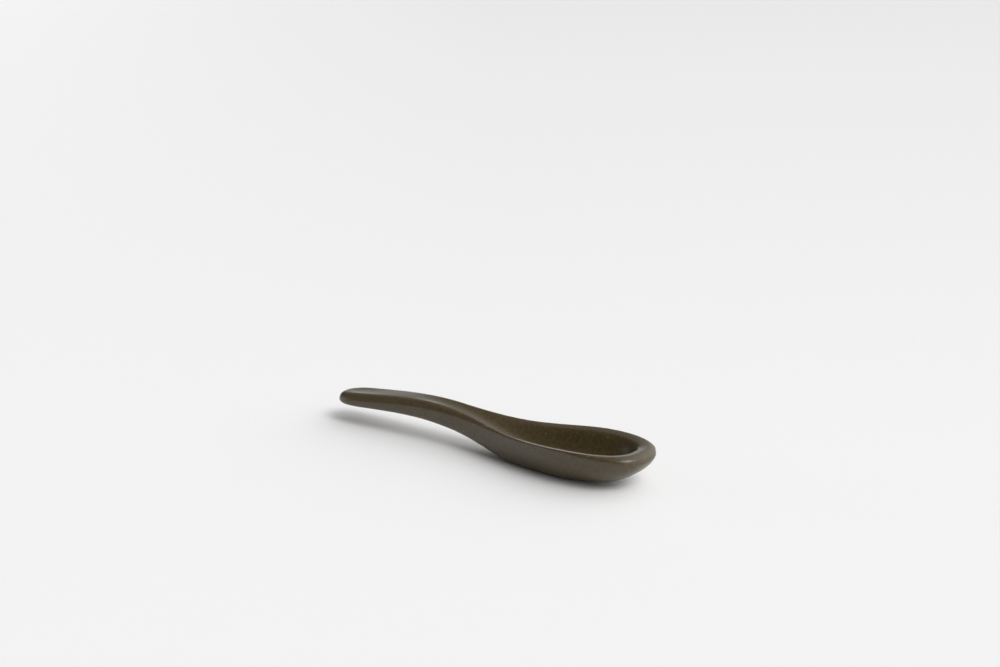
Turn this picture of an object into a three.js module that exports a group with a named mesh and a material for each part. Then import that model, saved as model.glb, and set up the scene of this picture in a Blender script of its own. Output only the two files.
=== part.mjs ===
// A one-piece stoneware spoon: a round-bottomed bowl that stands on a small flat foot, drawn out into a low
// arched handle with a shallow channel along its top. The fired clay body is one solid, and the coat of
// glaze that lines the bowl, the lip and the handle's channel is another.
// Millimetres, +Z up, +X towards the bowl's nose, origin on the table under the middle of the spoon.
import * as THREE from 'three';

// Plan outline, from the handle's end to the bowl's nose
const HANDLE_LENGTH = 54; // from the handle's end to the neck, where the sides start to spread
const SHOULDER_LENGTH = 58.4; // from the neck to the bowl's widest place
const NOSE_LENGTH = 22.6; // from the widest place to the nose
const HANDLE_END_WIDTH = 12.9;
const HANDLE_END_ROUNDING = 9.2; // length of the rounded end, along the handle
const HANDLE_END_FULLNESS = 2.3; // 2 is an ellipse, more is squarer
const NECK_WIDTH = 10.9;
const BOWL_WIDTH = 30;
const NOSE_FULLNESS = 2.47;

// Height of the rim above the table, along the spoon
const CROWN_FROM_END = 45.8; // the top of the handle's arch
const DIP_PAST_NECK = 27.8; // the lowest place of the rim, where handle and bowl meet
const RIM_AT_HANDLE_END = 11;
const RIM_AT_CROWN = 15.2;
const RIM_AT_DIP = 12;
const RIM_AT_BOWL = 13.6;
const RIM_AT_NOSE = 14;

// Underside
const HANDLE_END_THICKNESS = 4.7;
const CROWN_THICKNESS = 7.9;
const NECK_THICKNESS = 8.5;
const HEEL_PAST_NECK = 30; // where the underside comes down to the table
const FOOT_SPREAD_LENGTH = 6.9; // from the heel to where the foot has its full width
const FOOT_LENGTH = 11.7; // from the heel to where the underside rises again
const FOOT_WIDTH = 11.7;
const NOSE_LIFT = 7.1; // rise of the bottom line from the foot to the nose
const TOE_SETBACK = 11.5; // from the nose back to the front of the bottom strip
const TOE_TURN = 2; // 1 draws the strip in all round the nose, more keeps that to its very front
const HANDLE_SOLE_WIDTH = 4.8; // flat strip along the handle's underside
const HANDLE_SIDE_FULLNESS = 2.3;
const BOWL_SIDE_FULLNESS = 1.6;
const NOSE_SIDE_FULLNESS = 1.46;

// Rounding of the rim
const CREST_AT_HANDLE_END = 2.8;
const CREST_AT_NECK = 2.2;
const CREST_AT_BOWL = 0.8;
const CREST_AT_NOSE = 2.8;

// Upper face, as glazed
const CHANNEL_AT_HANDLE_END = 0.3;
const CHANNEL_AT_CROWN = 0.5;
const CHANNEL_AT_NECK = 1;
const FLOOR_HEIGHT = 5; // top of the bowl's floor above the table
const FLOOR_PAST_NECK = 36; // where the channel has run down to the floor
const LIP_SHARE = 0.48; // how far the lip is drawn towards the middle, along the bowl's sides
const NOSE_LIP_SHARE = 0.7; // the same at the nose
const HANDLE_LIP_SHARE = 0.33; // the same on the handle
const LIP_FALL = 0.07; // how much of the hollow's depth the lip is drawn down, in the bowl
const HANDLE_LIP_FALL = 0.6; // the same on the handle
const FLOOR_SHARE = 0.65; // how far the level floor is drawn towards the lip, in the bowl
const HANDLE_FLOOR_SHARE = 0.35; // the same on the handle

// Glaze coat
const GLAZE_THICKNESS = 0.4;
const GLAZE_EDGE_THICKNESS = 0.12;

// Finish
const CLAY_COLOR = 0x5c5346;
const CLAY_ROUGHNESS = 0.6;
const GLAZE_COLOR = 0x463a22;
const GLAZE_ROUGHNESS = 0.15;

// Fineness of the surface
const END_STEPS = 7;
const SIDE_STEPS = 28;
const NOSE_STEPS = 11;
const WALL_STEPS = 9;
const CREST_STEPS = 4;
const DISH_STEPS = 8;
const COAT_TAPER_ROWS = 3; // rows over which the coat thickens from its edge
const SOLE_CORE = 0.4; // share of the sole's half width where the rows under the spoon start
const END_SPINE_SHARE = 0.4; // how far the ribs' feet spread along the middle line in the rounded end
const NOSE_SPINE_SHARE = 0.35; // the same in the nose

// Places along the spoon, from the handle's end
const NECK = HANDLE_LENGTH;
const WIDEST = HANDLE_LENGTH + SHOULDER_LENGTH;
const LENGTH = WIDEST + NOSE_LENGTH;
const DIP = NECK + DIP_PAST_NECK;
const HEEL = NECK + HEEL_PAST_NECK;
const FLOOR_START = NECK + FLOOR_PAST_NECK;

const mix = (from, to, share) => from + (to - from) * share;

const ease = (share) => {
  const t = THREE.MathUtils.clamp(share, 0, 1);
  return t * t * (3 - 2 * t);
};

// A smooth height line through a few places. It can end level, and keeps its end heights beyond both ends.
function lineThrough(points, endsLevel) {
  const steps = points.slice(1).map(([x], i) => x - points[i][0]);
  const grades = steps.map((step, i) => (points[i + 1][1] - points[i][1]) / step);
  const slopes = points.map((point, i) => {
    if (i === 0) return grades[0];
    if (i === points.length - 1) return endsLevel ? 0 : grades[i - 1];
    return (grades[i - 1] * steps[i] + grades[i] * steps[i - 1]) / (steps[i - 1] + steps[i]);
  });
  return (x) => {
    let i = 0;
    while (i < steps.length - 1 && x > points[i + 1][0]) i += 1;
    const t = THREE.MathUtils.clamp((x - points[i][0]) / steps[i], 0, 1);
    const fall = 1 - t;
    const start = fall * fall * ((1 + 2 * t) * points[i][1] + t * steps[i] * slopes[i]);
    const end = t * t * ((3 - 2 * t) * points[i + 1][1] - fall * steps[i] * slopes[i + 1]);
    return start + end;
  };
}

const rimHeight = lineThrough([
  [0, RIM_AT_HANDLE_END],
  [CROWN_FROM_END, RIM_AT_CROWN],
  [DIP, RIM_AT_DIP],
  [WIDEST, RIM_AT_BOWL],
  [LENGTH, RIM_AT_NOSE],
], false);

const heelHeight = lineThrough([
  [0, RIM_AT_HANDLE_END - HANDLE_END_THICKNESS],
  [CROWN_FROM_END, RIM_AT_CROWN - CROWN_THICKNESS],
  [NECK, rimHeight(NECK) - NECK_THICKNESS],
  [HEEL, 0],
], true);

// The bottom line comes down to the heel, runs level along the foot and rises in a curve to the nose.
const keelHeight = (x) => {
  const ahead = Math.max(0, x - HEEL - FOOT_LENGTH) / (LENGTH - HEEL - FOOT_LENGTH);
  return heelHeight(x) + NOSE_LIFT * ahead * ahead;
};

const floorHeight = lineThrough([
  [0, RIM_AT_HANDLE_END - CHANNEL_AT_HANDLE_END],
  [CROWN_FROM_END, RIM_AT_CROWN - CHANNEL_AT_CROWN],
  [NECK, rimHeight(NECK) - CHANNEL_AT_NECK],
  [FLOOR_START, FLOOR_HEIGHT],
], true);

const crestRadius = lineThrough([
  [0, CREST_AT_HANDLE_END],
  [NECK, CREST_AT_NECK],
  [DIP, CREST_AT_BOWL],
  [WIDEST, CREST_AT_BOWL],
  [LENGTH, CREST_AT_NOSE],
], false);

// A point on a blunt quarter ellipse. The angle turns from its long axis, and 2 is a true ellipse's fullness.
function bluntQuarter(length, halfWidth, fullness, angle) {
  const away = (Math.cos(angle) ** fullness + Math.sin(angle) ** fullness) ** (-1 / fullness);
  return [length * Math.cos(angle) * away, halfWidth * Math.sin(angle) * away];
}

// Half of the plan outline: a rounded end, sides that swell from the neck, and a blunt nose. Each point
// comes with the place on the middle line that its rib starts from.
function halfOutline() {
  const points = [];
  for (let i = 0; i < END_STEPS; i += 1) {
    const angle = (i / END_STEPS) * (Math.PI / 2);
    const [back, y] = bluntQuarter(HANDLE_END_ROUNDING, HANDLE_END_WIDTH / 2, HANDLE_END_FULLNESS, angle);
    const x = HANDLE_END_ROUNDING - back;
    points.push({ x, y, spine: mix(HANDLE_END_ROUNDING, x, END_SPINE_SHARE) });
  }
  for (let i = 0; i < SIDE_STEPS; i += 1) {
    const x = mix(HANDLE_END_ROUNDING, WIDEST, i / SIDE_STEPS);
    const taper = ease((x - HANDLE_END_ROUNDING) / (NECK - HANDLE_END_ROUNDING));
    const swell = ease((x - NECK) / SHOULDER_LENGTH);
    const width = mix(mix(HANDLE_END_WIDTH, NECK_WIDTH, taper), BOWL_WIDTH, swell);
    points.push({ x, y: width / 2, spine: x });
  }
  for (let i = NOSE_STEPS; i >= 0; i -= 1) {
    const angle = (i / NOSE_STEPS) * (Math.PI / 2);
    const [ahead, y] = bluntQuarter(NOSE_LENGTH, BOWL_WIDTH / 2, NOSE_FULLNESS, angle);
    const x = WIDEST + ahead;
    points.push({ x, y, spine: mix(WIDEST, x, NOSE_SPINE_SHARE) });
  }
  return points;
}

// A rib stands on the middle line and reaches out to the rim.
function makeRib({ x, y, spine }) {
  const reach = Math.hypot(x - spine, y);
  const dirX = (x - spine) / reach;
  const forward = Math.max(dirX, 0);
  const onFoot = ease((spine - NECK) / (HEEL + FOOT_SPREAD_LENGTH - NECK));
  const toe = forward ** TOE_TURN;
  const handleSole = (HANDLE_SOLE_WIDTH / HANDLE_END_WIDTH) * reach;
  const footSole = mix((FOOT_WIDTH / BOWL_WIDTH) * reach, reach - TOE_SETBACK, toe);
  const bowlFullness = mix(BOWL_SIDE_FULLNESS, NOSE_SIDE_FULLNESS, toe);
  return {
    spine,
    reach,
    dirX,
    dirY: y / reach,
    rim: rimHeight(x),
    keel: keelHeight(spine),
    floor: floorHeight(spine),
    crest: crestRadius(x),
    sole: mix(handleSole, footSole, onFoot),
    fullness: mix(HANDLE_SIDE_FULLNESS, bowlFullness, onFoot),
    lipShare: mix(HANDLE_LIP_SHARE, mix(LIP_SHARE, NOSE_LIP_SHARE, toe), onFoot),
    lipFall: mix(HANDLE_LIP_FALL, LIP_FALL, onFoot),
    floorShare: mix(HANDLE_FLOOR_SHARE, FLOOR_SHARE, onFoot),
  };
}

// Outside of a rib, from the sole up the wall to the outer edge of the rim, as [reach, height] pairs.
function outerProfile(rib) {
  const rows = [[rib.sole * SOLE_CORE, rib.keel]];
  const wallTop = rib.rim - rib.crest;
  const power = 2 / rib.fullness;
  for (let i = 0; i <= WALL_STEPS; i += 1) {
    const angle = (i / WALL_STEPS) * (Math.PI / 2);
    const out = i === WALL_STEPS ? 1 : Math.sin(angle) ** power;
    const up = i === WALL_STEPS ? 1 : 1 - Math.cos(angle) ** power;
    rows.push([mix(rib.sole, rib.reach, out), mix(rib.keel, wallTop, up)]);
  }
  return rows;
}

// Glazed face of a rib, over the rounded rim and down the lip to the middle of the floor.
function glazedProfile(rib) {
  const rows = [];
  for (let i = 1; i <= CREST_STEPS; i += 1) {
    const angle = (i / CREST_STEPS) * (Math.PI / 2);
    rows.push([rib.reach - rib.crest * (1 - Math.cos(angle)), rib.rim - rib.crest * (1 - Math.sin(angle))]);
  }
  const start = rib.reach - rib.crest;
  const dish = new THREE.CubicBezierCurve(
    new THREE.Vector2(start, rib.rim),
    new THREE.Vector2(start * (1 - rib.lipShare), mix(rib.rim, rib.floor, rib.lipFall)),
    new THREE.Vector2(start * rib.floorShare, rib.floor),
    new THREE.Vector2(0, rib.floor),
  );
  for (let i = 1; i < DISH_STEPS; i += 1) {
    const point = dish.getPoint(i / DISH_STEPS);
    rows.push([point.x, point.y]);
  }
  return rows;
}

// The coat is thin at its edge on the rim and full over the lip and the floor.
const coatThickness = (row) => mix(GLAZE_EDGE_THICKNESS, GLAZE_THICKNESS, ease(row / COAT_TAPER_ROWS));

const lowered = (rows) => rows.map(([reach, height], i) => [reach, height - coatThickness(i)]);

// One ring of points for each row of the ribs: out along one side, round the nose and back along the other.
function ringsFrom(ribs, rowsOf) {
  const rowsByRib = ribs.map(rowsOf);
  return rowsByRib[0].map((_, row) => {
    const side = ribs.map((rib, i) => {
      const [reach, height] = rowsByRib[i][row];
      const x = rib.spine + rib.dirX * reach - LENGTH / 2;
      return new THREE.Vector3(x, rib.dirY * reach, height);
    });
    const otherSide = side.slice(1, -1).reverse();
    return [...side, ...otherSide.map((p) => new THREE.Vector3(p.x, -p.y, p.z))];
  });
}

// A closed skin over the rings: a strip across the first ring, bands between rings, a strip across the last.
// Each patch is split along its shorter diagonal, so skins over the same points have the same facets.
function loft(rings) {
  const count = rings[0].length;
  const half = count / 2;
  const points = rings.flat();
  const index = [];
  const face = (...corners) => {
    if (new Set(corners).size === 3) index.push(...corners);
  };
  for (let ring = 0; ring < rings.length - 1; ring += 1) {
    for (let i = 0; i < count; i += 1) {
      const a = ring * count + i;
      const b = ring * count + ((i + 1) % count);
      const c = b + count;
      const d = a + count;
      if (points[a].distanceTo(points[c]) < points[b].distanceTo(points[d])) {
        face(a, d, c);
        face(a, c, b);
      } else {
        face(a, d, b);
        face(b, d, c);
      }
    }
  }
  const last = (rings.length - 1) * count;
  for (let i = 0; i < half; i += 1) {
    const across = (count - i) % count;
    face(i, i + 1, across);
    face(i + 1, count - i - 1, across);
    face(last + i, last + across, last + i + 1);
    face(last + i + 1, last + across, last + count - i - 1);
  }
  const geometry = new THREE.BufferGeometry();
  geometry.setFromPoints(points);
  geometry.setIndex(index);
  geometry.computeVertexNormals();
  return geometry;
}

function makeMesh(name, geometry, color, roughness) {
  const mesh = new THREE.Mesh(geometry, new THREE.MeshStandardMaterial({ color, roughness, metalness: 0 }));
  mesh.name = name;
  return mesh;
}

function makeClayBody(ribs) {
  const rings = ringsFrom(ribs, (rib) => [...outerProfile(rib), ...lowered(glazedProfile(rib))]);
  return makeMesh('clay_body', loft(rings), CLAY_COLOR, CLAY_ROUGHNESS);
}

function makeGlazeLining(ribs) {
  const rings = ringsFrom(ribs, (rib) => {
    const top = glazedProfile(rib);
    return [...lowered(top).reverse(), ...top];
  });
  return makeMesh('glaze_lining', loft(rings), GLAZE_COLOR, GLAZE_ROUGHNESS);
}

const ribs = halfOutline().map(makeRib);
const spoon = new THREE.Group();
spoon.add(makeClayBody(ribs), makeGlazeLining(ribs));

export default spoon;
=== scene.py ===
"""A one-piece stoneware spoon with a glossy glaze lining, standing on a pale table.

Metres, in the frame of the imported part: +X towards the bowl's nose, +Z up, the table at Z = 0.
"""
import math

import bmesh
import bpy
import numpy as np
from mathutils import Matrix, Vector


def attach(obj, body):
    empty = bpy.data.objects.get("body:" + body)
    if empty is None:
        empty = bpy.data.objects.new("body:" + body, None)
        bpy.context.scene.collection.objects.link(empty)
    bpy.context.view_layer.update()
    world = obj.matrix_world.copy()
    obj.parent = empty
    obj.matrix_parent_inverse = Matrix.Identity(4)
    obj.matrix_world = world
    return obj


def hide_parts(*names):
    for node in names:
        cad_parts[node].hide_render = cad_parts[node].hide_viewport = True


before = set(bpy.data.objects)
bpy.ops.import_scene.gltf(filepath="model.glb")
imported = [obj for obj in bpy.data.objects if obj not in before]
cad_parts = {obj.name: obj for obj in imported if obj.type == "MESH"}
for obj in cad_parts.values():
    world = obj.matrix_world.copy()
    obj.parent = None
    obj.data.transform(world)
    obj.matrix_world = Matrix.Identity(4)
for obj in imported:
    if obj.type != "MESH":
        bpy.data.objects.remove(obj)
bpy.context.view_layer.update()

MM = 0.001

# Photograph: its frame, where the spoon's origin appears in it, and the place it was taken from
PHOTO_WIDTH = 1000
PHOTO_HEIGHT = 667
ORIGIN_PIXEL = (488.76, 452.25)
VIEW_AZIMUTH = math.radians(36.43)
VIEW_ELEVATION = math.radians(19.5)
VIEW_DISTANCE = 0.8193
LENS = 82.8
SENSOR = 36

# Directions as the photograph shows them: two along the table, and up from it
RIGHTWARD = Vector((math.cos(VIEW_AZIMUTH), math.sin(VIEW_AZIMUTH), 0))
AWAY = Vector((-math.sin(VIEW_AZIMUTH), math.cos(VIEW_AZIMUTH), 0))
UP = Vector((0, 0, 1))

# Fired surface: how many times its facets are divided, and the slight waves of worked clay,
# which fade out towards the foot
SMOOTHING = 2
WAVE_HEIGHT = 0.03 * MM
WAVE_LENGTH = 14 * MM
WAVE_DETAIL = 1.0
WAVE_SEED = 4.0
FOOT_FADE = 0.6 * MM

# How the soft clay of the bowl settled on its foot: how far, at what height most, up to what height,
# and where along the spoon it starts and is full
SETTLE = 0.4 * MM
SETTLE_MOST = 0.9 * MM
SETTLE_TOP = 4 * MM
SETTLE_START = 0.0
SETTLE_FULL = 12 * MM

# How the glaze gathered below the lip: how thick, how far below the rim most, down to what depth,
# where along the spoon it starts and is full, and how much a surface faces inwards where it is full
POOLING = 0.3 * MM
POOLING_MOST = 1.2 * MM
POOLING_END = 6 * MM
POOLING_START = 6 * MM
POOLING_FULL = 24 * MM
POOLING_FACING = 0.3

# Solids as they are read: points this close are one, points of one rib lie this close along the spoon,
# a whole rib has more points than this, and the attribute that holds a point's depth below the rim
MERGE_GAP = 0.001 * MM
RIB_GAP = 0.01 * MM
RIB_POINTS = 30
RIM_DEPTH = "depth"

# Finish: one glaze, satin outside and on the handle, glassy inside the bowl, where it faces the point above
SATIN_ROUGHNESS = 0.3
GLOSS_ROUGHNESS = 0.18
GLOSS_START = -4 * MM
GLOSS_FULL = 14 * MM
GLOSS_FACING_START = 0.5
GLOSS_FACING_FULL = 0.9
BOWL_FACES = Vector((38 * MM, 0, 25 * MM))
GLAZE_IOR = 1.5
SATIN_DARK = "#3e341e"
SATIN_LIGHT = "#564a33"
GLOSS_DARK = "#372d14"
GLOSS_LIGHT = "#4d4025"
MOTTLE_SIZE = 1.2 * MM
MOTTLE_CONTRAST = 1.7
MOTTLE_DETAIL = 5.0
SPECK_COLOUR = "#8c7d5c"
SPECK_SPACING = 3 * MM
SPECK_RADIUS = 0.24 * MM
SPECK_CORE = 0.12 * MM
GRAIN_SIZE = 0.5 * MM
GRAIN_DEPTH = 0.03 * MM
GRAIN_DETAIL = 3.0
GRAIN_STRENGTH = 0.25

# Bare clay under the foot, where the spoon stood in the kiln
CLAY = "#7a6a52"
CLAY_ROUGHNESS = 0.75
CLAY_HEIGHT = 0.12 * MM

# Studio light: even light from all round, and soft lights over it, each with its turn from straight behind
# towards the right and its height in degrees, how tight it is and how bright
EVEN_LIGHT = 0.1
SOFT_LIGHTS = [
    (140, 46, 34, 10.8),
    (76, 24, 1.7, 1.65),
    (285, 2, 25, 1.5),
    (0, 1, 60, 1.1),
]

# Pale table: its half width, and its colour near the camera and far behind the spoon, left and right, with
# the light's falloff painted on: painted shade far behind on the right, painted light far behind on the
# left
TABLE_HALF = 4.0
TABLE_NEAR = "#f4f4f4"
TABLE_FAR_RIGHT_PAINTED_SHADE = "#e4e4e4"
TABLE_FAR_LEFT_PAINTED_LIGHT = "#fefefe"
TABLE_PAINTED_FALLOFF_PLACE = 1.7
TABLE_PAINTED_LIGHT_LEFT_PLACE = 0.55
TABLE_ROUGHNESS = 0.9
TABLE_SHINE = 0.2

# Middle of a noise pattern's range
NOISE_MIDDLE = 0.5

# A Mix node's colour sockets, by number because its number and vector sockets have the same names
MIX_SHARE = 0
MIX_FIRST = 6
MIX_SECOND = 7
MIX_RESULT = 2


def linear(hex_colour):
    """An sRGB hex colour as linear RGBA."""
    parts = [int(hex_colour[i:i + 2], 16) / 255 for i in (1, 3, 5)]
    return [c / 12.92 if c <= 0.04045 else ((c + 0.055) / 1.055) ** 2.4 for c in parts] + [1.0]


def add(tree, kind, inputs=None, **settings):
    """Adds a node to a tree, with its settings. An input given a socket is linked to it."""
    made = tree.nodes.new(kind)
    for name, value in settings.items():
        setattr(made, name, value)
    for key, value in (inputs or {}).items():
        if isinstance(value, bpy.types.NodeSocket):
            tree.links.new(value, made.inputs[key])
        else:
            made.inputs[key].default_value = value
    return made


def add_product(tree, first, *others):
    """The product of several numbers."""
    product = first
    for other in others:
        product = add(tree, "ShaderNodeMath", {0: product, 1: other}, operation="MULTIPLY").outputs[0]
    return product


def add_bowl_share(tree, place, start, full):
    """How far a point has come along the spoon into the bowl, from 0 at start to 1 at full."""
    share = add(tree, "ShaderNodeMapRange", {
        "Value": add(tree, "ShaderNodeSeparateXYZ", {0: place}).outputs["X"],
        "From Min": start,
        "From Max": full,
    }, interpolation_type="SMOOTHSTEP")
    return share.outputs[0]


def add_facing_share(tree, place, normal, start, full):
    """How much a surface faces the point that the bowl's inside faces, from 0 at start to 1 at full."""
    inward = add(tree, "ShaderNodeVectorMath", {0: BOWL_FACES, 1: place}, operation="SUBTRACT")
    straight = add(tree, "ShaderNodeVectorMath", {0: inward.outputs[0]}, operation="NORMALIZE")
    facing = add(tree, "ShaderNodeVectorMath", {0: straight.outputs[0], 1: normal}, operation="DOT_PRODUCT")
    share = add(tree, "ShaderNodeMapRange", {
        "Value": facing.outputs["Value"],
        "From Min": start,
        "From Max": full,
    }, interpolation_type="SMOOTHSTEP")
    return share.outputs[0]


# Materials


def new_material(name):
    """An empty material and its tree."""
    material = bpy.data.materials.new(name)
    material.use_nodes = True
    material.node_tree.nodes.clear()
    return material, material.node_tree


def add_mottle(tree, place, dark, light):
    """A glaze's tint, mottled from dark to light as the glaze lies thicker and thinner."""
    mottle = add(tree, "ShaderNodeTexNoise", {
        "Vector": place,
        "Scale": 1 / MOTTLE_SIZE,
        "Detail": MOTTLE_DETAIL,
    })
    reach = NOISE_MIDDLE / MOTTLE_CONTRAST
    share = add(tree, "ShaderNodeMapRange", {
        "Value": mottle.outputs["Fac"],
        "From Min": NOISE_MIDDLE - reach,
        "From Max": NOISE_MIDDLE + reach,
    })
    tint = add(tree, "ShaderNodeMix", {
        MIX_SHARE: share.outputs[0],
        MIX_FIRST: linear(dark),
        MIX_SECOND: linear(light),
    }, data_type="RGBA")
    return tint.outputs[MIX_RESULT]


def add_specks(tree, place, tint):
    """A tint with small pale specks scattered over it."""
    cells = add(tree, "ShaderNodeTexVoronoi", {"Vector": place, "Scale": 1 / SPECK_SPACING})
    speck = add(tree, "ShaderNodeMapRange", {
        "Value": cells.outputs["Distance"],
        "From Min": SPECK_CORE / SPECK_SPACING,
        "From Max": SPECK_RADIUS / SPECK_SPACING,
        "To Min": 1.0,
        "To Max": 0.0,
    })
    specked = add(tree, "ShaderNodeMix", {
        MIX_SHARE: speck.outputs[0],
        MIX_FIRST: tint,
        MIX_SECOND: linear(SPECK_COLOUR),
    }, data_type="RGBA")
    return specked.outputs[MIX_RESULT]


def add_surface(tree, place, tint, roughness):
    """A fired surface of a tint and a roughness, with a fine grain in it, as the material's whole look."""
    grain = add(tree, "ShaderNodeTexNoise", {
        "Vector": place,
        "Scale": 1 / GRAIN_SIZE,
        "Detail": GRAIN_DETAIL,
    })
    relief = add(tree, "ShaderNodeBump", {
        "Strength": GRAIN_STRENGTH,
        "Distance": GRAIN_DEPTH,
        "Height": grain.outputs["Fac"],
    })
    shader = add(tree, "ShaderNodeBsdfPrincipled", {
        "Base Color": tint,
        "Roughness": roughness,
        "IOR": GLAZE_IOR,
        "Normal": relief.outputs["Normal"],
    })
    add(tree, "ShaderNodeOutputMaterial", {"Surface": shader.outputs["BSDF"]})


def make_stoneware():
    """Pressed stoneware under a thin satin glaze: mottled olive brown with a soft, broad sheen.

    Under the foot the clay is bare, paler and dull.
    """
    material, tree = new_material("satin_stoneware")
    place = add(tree, "ShaderNodeTexCoord").outputs["Object"]
    glaze = add_specks(tree, place, add_mottle(tree, place, SATIN_DARK, SATIN_LIGHT))
    height = add(tree, "ShaderNodeSeparateXYZ", {0: place}).outputs["Z"]
    coated = add(tree, "ShaderNodeMath", {0: height, 1: CLAY_HEIGHT}, operation="GREATER_THAN").outputs[0]
    tint = add(tree, "ShaderNodeMix", {
        MIX_SHARE: coated,
        MIX_FIRST: linear(CLAY),
        MIX_SECOND: glaze,
    }, data_type="RGBA")
    roughness = add(tree, "ShaderNodeMapRange", {
        "Value": coated,
        "To Min": CLAY_ROUGHNESS,
        "To Max": SATIN_ROUGHNESS,
    })
    add_surface(tree, place, tint.outputs[MIX_RESULT], roughness.outputs[0])
    return material


def make_glaze():
    """Poured glaze over the body: satin on the handle and the rim's outside, as the body's own coat is.

    Inside the bowl it is thick and glassy, with a deeper tint and sharper glints.
    """
    material, tree = new_material("gloss_glaze")
    place = add(tree, "ShaderNodeTexCoord").outputs["Object"]
    normal = add(tree, "ShaderNodeNewGeometry").outputs["Normal"]
    gloss = add_product(
        tree,
        add_bowl_share(tree, place, GLOSS_START, GLOSS_FULL),
        add_facing_share(tree, place, normal, GLOSS_FACING_START, GLOSS_FACING_FULL),
    )
    tint = add(tree, "ShaderNodeMix", {
        MIX_SHARE: gloss,
        MIX_FIRST: add_mottle(tree, place, SATIN_DARK, SATIN_LIGHT),
        MIX_SECOND: add_mottle(tree, place, GLOSS_DARK, GLOSS_LIGHT),
    }, data_type="RGBA")
    roughness = add(tree, "ShaderNodeMapRange", {
        "Value": gloss,
        "To Min": SATIN_ROUGHNESS,
        "To Max": GLOSS_ROUGHNESS,
    })
    add_surface(tree, place, add_specks(tree, place, tint.outputs[MIX_RESULT]), roughness.outputs[0])
    return material


def make_table_top():
    """Painted white board, matt, with the light's falloff painted on: painted shade darkens it a little far
    behind the spoon, and painted light brightens it far behind to the left.
    """
    material, tree = new_material("white_board")
    place = add(tree, "ShaderNodeTexCoord").outputs["Object"]
    behind = add(tree, "ShaderNodeVectorMath", {0: place, 1: AWAY}, operation="DOT_PRODUCT")
    beside = add(tree, "ShaderNodeVectorMath", {0: place, 1: -RIGHTWARD}, operation="DOT_PRODUCT")
    far = add(tree, "ShaderNodeMapRange", {"Value": behind.outputs["Value"], "From Max": TABLE_PAINTED_FALLOFF_PLACE})
    left = add(tree, "ShaderNodeMapRange", {"Value": beside.outputs["Value"], "From Max": TABLE_PAINTED_LIGHT_LEFT_PLACE})
    # Painted shade far behind on the right and painted light far behind on the left, standing in for how
    # the light falls across the board
    painted_falloff_tint = add(tree, "ShaderNodeMix", {
        MIX_SHARE: left.outputs[0],
        MIX_FIRST: linear(TABLE_FAR_RIGHT_PAINTED_SHADE),
        MIX_SECOND: linear(TABLE_FAR_LEFT_PAINTED_LIGHT),
    }, data_type="RGBA")
    tint = add(tree, "ShaderNodeMix", {
        MIX_SHARE: far.outputs[0],
        MIX_FIRST: linear(TABLE_NEAR),
        MIX_SECOND: painted_falloff_tint.outputs[MIX_RESULT],
    }, data_type="RGBA")
    shader = add(tree, "ShaderNodeBsdfPrincipled", {
        "Base Color": tint.outputs[MIX_RESULT],
        "Roughness": TABLE_ROUGHNESS,
        "Specular IOR Level": TABLE_SHINE,
    })
    add(tree, "ShaderNodeOutputMaterial", {"Surface": shader.outputs["BSDF"]})
    return material


# Pieces


def add_hump(tree, measure, most, end):
    """A share that rises from 0 as a measure grows, is 1 at most, and falls back to 0 at end."""
    rising = add(tree, "ShaderNodeMapRange", {
        "Value": measure,
        "From Max": most,
    }, interpolation_type="SMOOTHSTEP")
    falling = add(tree, "ShaderNodeMapRange", {
        "Value": measure,
        "From Min": most,
        "From Max": end,
        "To Min": 1.0,
        "To Max": 0.0,
    }, interpolation_type="SMOOTHSTEP")
    return add_product(tree, rising.outputs[0], falling.outputs[0])


def add_waves(tree, place, normal, given):
    """The slight waves of worked clay, as an offset along the surface's normal."""
    scale = add(tree, "ShaderNodeMath", {0: 1.0, 1: given["Wave length"]}, operation="DIVIDE")
    noise = add(tree, "ShaderNodeTexNoise", {
        "Vector": place,
        "W": given["Seed"],
        "Scale": scale.outputs[0],
        "Detail": WAVE_DETAIL,
    }, noise_dimensions="4D")
    centred = add(tree, "ShaderNodeMath", {0: noise.outputs["Fac"], 1: NOISE_MIDDLE}, operation="SUBTRACT")
    height = add(tree, "ShaderNodeSeparateXYZ", {0: place}).outputs["Z"]
    off_foot = add(tree, "ShaderNodeMapRange", {"Value": height, "From Max": FOOT_FADE})
    lift = add_product(tree, centred.outputs[0], given["Wave height"], off_foot.outputs[0])
    return add(tree, "ShaderNodeVectorMath", {0: normal, "Scale": lift}, operation="SCALE").outputs[0]


def add_settling(tree, place, most):
    """How far points low on the bowl sank when it settled on its foot, as an offset."""
    height = add(tree, "ShaderNodeSeparateXYZ", {0: place}).outputs["Z"]
    sinking = add_product(
        tree,
        add_hump(tree, height, SETTLE_MOST, SETTLE_TOP),
        add_bowl_share(tree, place, SETTLE_START, SETTLE_FULL),
        most,
    )
    return add(tree, "ShaderNodeVectorMath", {0: -UP, "Scale": sinking}, operation="SCALE").outputs[0]


def add_pooling(tree, place, normal, most):
    """How far the surface stands up where the glaze gathered below the lip, as an offset."""
    depth = add(tree, "GeometryNodeInputNamedAttribute", {"Name": RIM_DEPTH}, data_type="FLOAT").outputs[0]
    swelling = add_product(
        tree,
        add_hump(tree, depth, POOLING_MOST, POOLING_END),
        add_bowl_share(tree, place, POOLING_START, POOLING_FULL),
        add_facing_share(tree, place, normal, 0.0, POOLING_FACING),
        most,
    )
    return add(tree, "ShaderNodeVectorMath", {0: UP, "Scale": swelling}, operation="SCALE").outputs[0]


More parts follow.
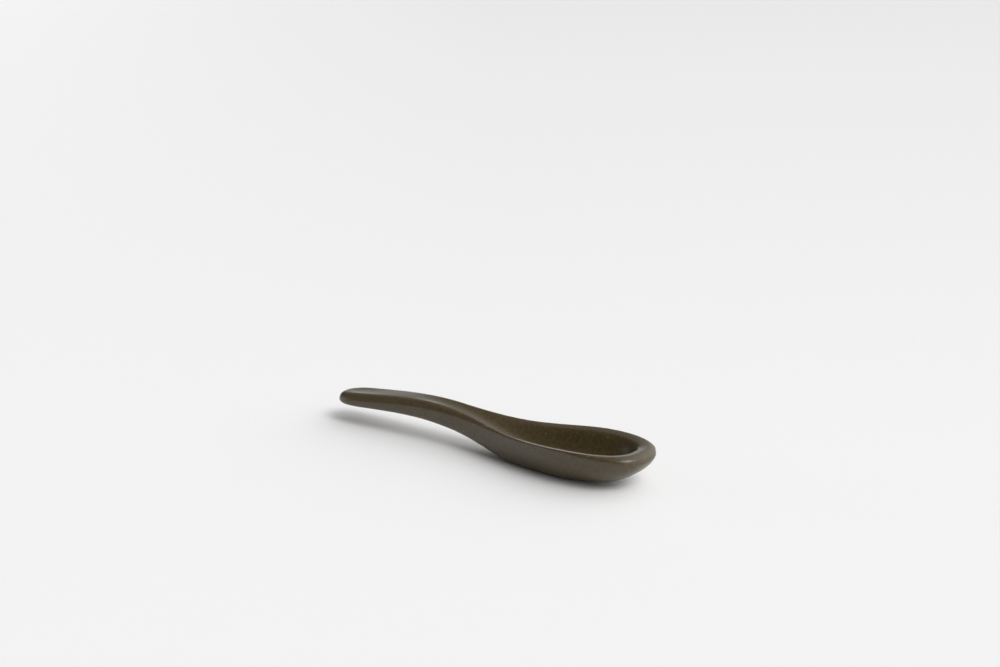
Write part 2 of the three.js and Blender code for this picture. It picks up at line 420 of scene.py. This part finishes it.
def make_skin_tree():
    """A fired surface: the solid's facets smoothed, waved, settled on the foot, thicker below the lip."""
    tree = bpy.data.node_groups.new("fired_skin", "GeometryNodeTree")
    sockets = {
        "Geometry": "NodeSocketGeometry",
        "Smoothing": "NodeSocketInt",
        "Wave height": "NodeSocketFloat",
        "Wave length": "NodeSocketFloat",
        "Seed": "NodeSocketFloat",
        "Settling": "NodeSocketFloat",
        "Pooling": "NodeSocketFloat",
        "Finish": "NodeSocketMaterial",
    }
    for name, kind in sockets.items():
        tree.interface.new_socket(name, in_out="INPUT", socket_type=kind)
    tree.interface.new_socket("Geometry", in_out="OUTPUT", socket_type="NodeSocketGeometry")
    given = add(tree, "NodeGroupInput").outputs
    place = add(tree, "GeometryNodeInputPosition").outputs[0]
    normal = add(tree, "GeometryNodeInputNormal").outputs[0]
    waves = add_waves(tree, place, normal, given)
    settling = add_settling(tree, place, given["Settling"])
    pooling = add_pooling(tree, place, normal, given["Pooling"])
    moved = add(tree, "ShaderNodeVectorMath", {0: settling, 1: pooling}, operation="ADD")
    offset = add(tree, "ShaderNodeVectorMath", {0: waves, 1: moved.outputs[0]}, operation="ADD")
    smooth = add(tree, "GeometryNodeSubdivisionSurface", {
        "Mesh": given["Geometry"],
        "Level": given["Smoothing"],
    })
    formed = add(tree, "GeometryNodeSetPosition", {
        "Geometry": smooth.outputs["Mesh"],
        "Offset": offset.outputs[0],
    })
    soft = add(tree, "GeometryNodeSetShadeSmooth", {"Geometry": formed.outputs["Geometry"]})
    plain = add(tree, "GeometryNodeRealizeInstances", {"Geometry": soft.outputs["Geometry"]})
    dressed = add(tree, "GeometryNodeSetMaterial", {
        "Geometry": plain.outputs["Geometry"],
        "Material": given["Finish"],
    })
    add(tree, "NodeGroupOutput", {"Geometry": dressed.outputs["Geometry"]})
    return tree


def merged_copy(node, name):
    """A new object with a CAD node's mesh, its loose triangles merged and joined into four-sided faces."""
    shape = bmesh.new()
    shape.from_mesh(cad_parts[node].data)
    bmesh.ops.remove_doubles(shape, verts=shape.verts, dist=MERGE_GAP)
    bmesh.ops.join_triangles(
        shape,
        faces=shape.faces,
        angle_face_threshold=math.pi,
        angle_shape_threshold=math.pi,
    )
    mesh = bpy.data.meshes.new(name)
    shape.to_mesh(mesh)
    shape.free()
    piece = bpy.data.objects.new(name, mesh)
    bpy.context.scene.collection.objects.link(piece)
    return piece


def mark_depth(mesh):
    """Stores on each point of a piece how far it lies below the rim beside it.

    The rim is the highest point of each whole rib, and past the last of those the nose's own top.
    """
    places = np.array([vertex.co for vertex in mesh.vertices])
    along, across, height = places.T
    steps, counts = np.unique((along / RIB_GAP).round(), return_counts=True)
    ribs = steps[counts > RIB_POINTS] * RIB_GAP
    tops = [height[np.abs(along - rib) < RIB_GAP].max() for rib in ribs]
    nose = places[(along > ribs[-1]) & (np.abs(across) < RIB_GAP)]
    tip = nose[nose[:, 2].argmax()]
    rim = np.interp(along, [*ribs, tip[0]], [*tops, tip[2]])
    depth = mesh.attributes.new(RIM_DEPTH, "FLOAT", "POINT")
    depth.data.foreach_set("value", (rim - height).astype(np.float32))


def grow(piece, tree, **values):
    """Runs a node tree on a piece and keeps the result as a plain mesh."""
    modifier = piece.modifiers.new(tree.name, "NODES")
    modifier.node_group = tree
    for item in tree.interface.items_tree:
        key = item.name.lower().replace(" ", "_")
        if item.in_out == "INPUT" and key in values:
            modifier[item.identifier] = values[key]
    graph = bpy.context.evaluated_depsgraph_get()
    mesh = bpy.data.meshes.new_from_object(piece.evaluated_get(graph))
    piece.modifiers.clear()
    old = piece.data
    piece.data = mesh
    mesh.name = piece.name
    bpy.data.meshes.remove(old)


def make_fired_piece(node, name, finish, skin):
    """The finished surface that stands for one of the solids."""
    piece = merged_copy(node, name)
    mark_depth(piece.data)
    grow(piece, skin, smoothing=SMOOTHING, wave_height=WAVE_HEIGHT, wave_length=WAVE_LENGTH,
         seed=WAVE_SEED, settling=SETTLE, pooling=POOLING, finish=finish)
    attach(piece, "root")
    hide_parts(node)


# Stage


def make_table():
    """The pale table, wide enough to fill the view."""
    corners = [(x * TABLE_HALF, y * TABLE_HALF, 0) for x, y in ((-1, -1), (1, -1), (1, 1), (-1, 1))]
    mesh = bpy.data.meshes.new("table")
    mesh.from_pydata(corners, [], [(0, 1, 2, 3)])
    table = bpy.data.objects.new("table", mesh)
    table.data.materials.append(make_table_top())
    bpy.context.scene.collection.objects.link(table)


def add_soft_light(tree, looking, turn, height, tightness, brightness):
    """How bright one soft light is where the world is looked at."""
    turn = math.radians(turn)
    height = math.radians(height)
    level = AWAY * math.cos(turn) + RIGHTWARD * math.sin(turn)
    middle = level * math.cos(height) + UP * math.sin(height)
    facing = add(tree, "ShaderNodeVectorMath", {0: looking, 1: middle}, operation="DOT_PRODUCT")
    ahead = add(tree, "ShaderNodeMath", {0: facing.outputs["Value"], 1: 0.0}, operation="MAXIMUM")
    shape = add(tree, "ShaderNodeMath", {0: ahead.outputs[0], 1: tightness}, operation="POWER")
    return add_product(tree, shape.outputs[0], brightness)


def make_light():
    """The studio's light, all of it far off: the even light and the soft lights added up."""
    world = bpy.data.worlds.new("studio")
    world.use_nodes = True
    tree = world.node_tree
    tree.nodes.clear()
    looking = add(tree, "ShaderNodeTexCoord").outputs["Generated"]
    total = EVEN_LIGHT
    for row in SOFT_LIGHTS:
        one = add_soft_light(tree, looking, *row)
        total = add(tree, "ShaderNodeMath", {0: one, 1: total}, operation="ADD").outputs[0]
    light = add(tree, "ShaderNodeBackground", {"Color": (1, 1, 1, 1), "Strength": total})
    add(tree, "ShaderNodeOutputWorld", {"Surface": light.outputs[0]})
    bpy.context.scene.world = world


def make_camera():
    """The camera, at the place the photograph was taken from, level from side to side."""
    sideways = (ORIGIN_PIXEL[0] - PHOTO_WIDTH / 2) / PHOTO_WIDTH * SENSOR / LENS
    downward = (ORIGIN_PIXEL[1] - PHOTO_HEIGHT / 2) / PHOTO_WIDTH * SENSOR / LENS
    tilt = VIEW_ELEVATION - math.atan(downward)
    forward = AWAY * math.cos(tilt) - UP * math.sin(tilt)
    upward = RIGHTWARD.cross(forward)
    data = bpy.data.cameras.new("camera")
    data.lens = LENS
    data.sensor_width = SENSOR
    camera = bpy.data.objects.new("camera", data)
    turn = Matrix((RIGHTWARD, upward, -forward)).transposed()
    ray = AWAY * math.cos(VIEW_ELEVATION) - UP * math.sin(VIEW_ELEVATION)
    place = -VIEW_DISTANCE * (ray + sideways * RIGHTWARD)
    camera.matrix_world = Matrix.Translation(place) @ turn.to_4x4()
    bpy.context.scene.collection.objects.link(camera)
    bpy.context.scene.camera = camera


skin = make_skin_tree()
make_fired_piece("clay_body", "spoon_body", make_stoneware(), skin)
make_fired_piece("glaze_lining", "spoon_glaze", make_glaze(), skin)
make_table()
make_light()
make_camera()
bpy.context.scene.view_settings.view_transform = "Standard"
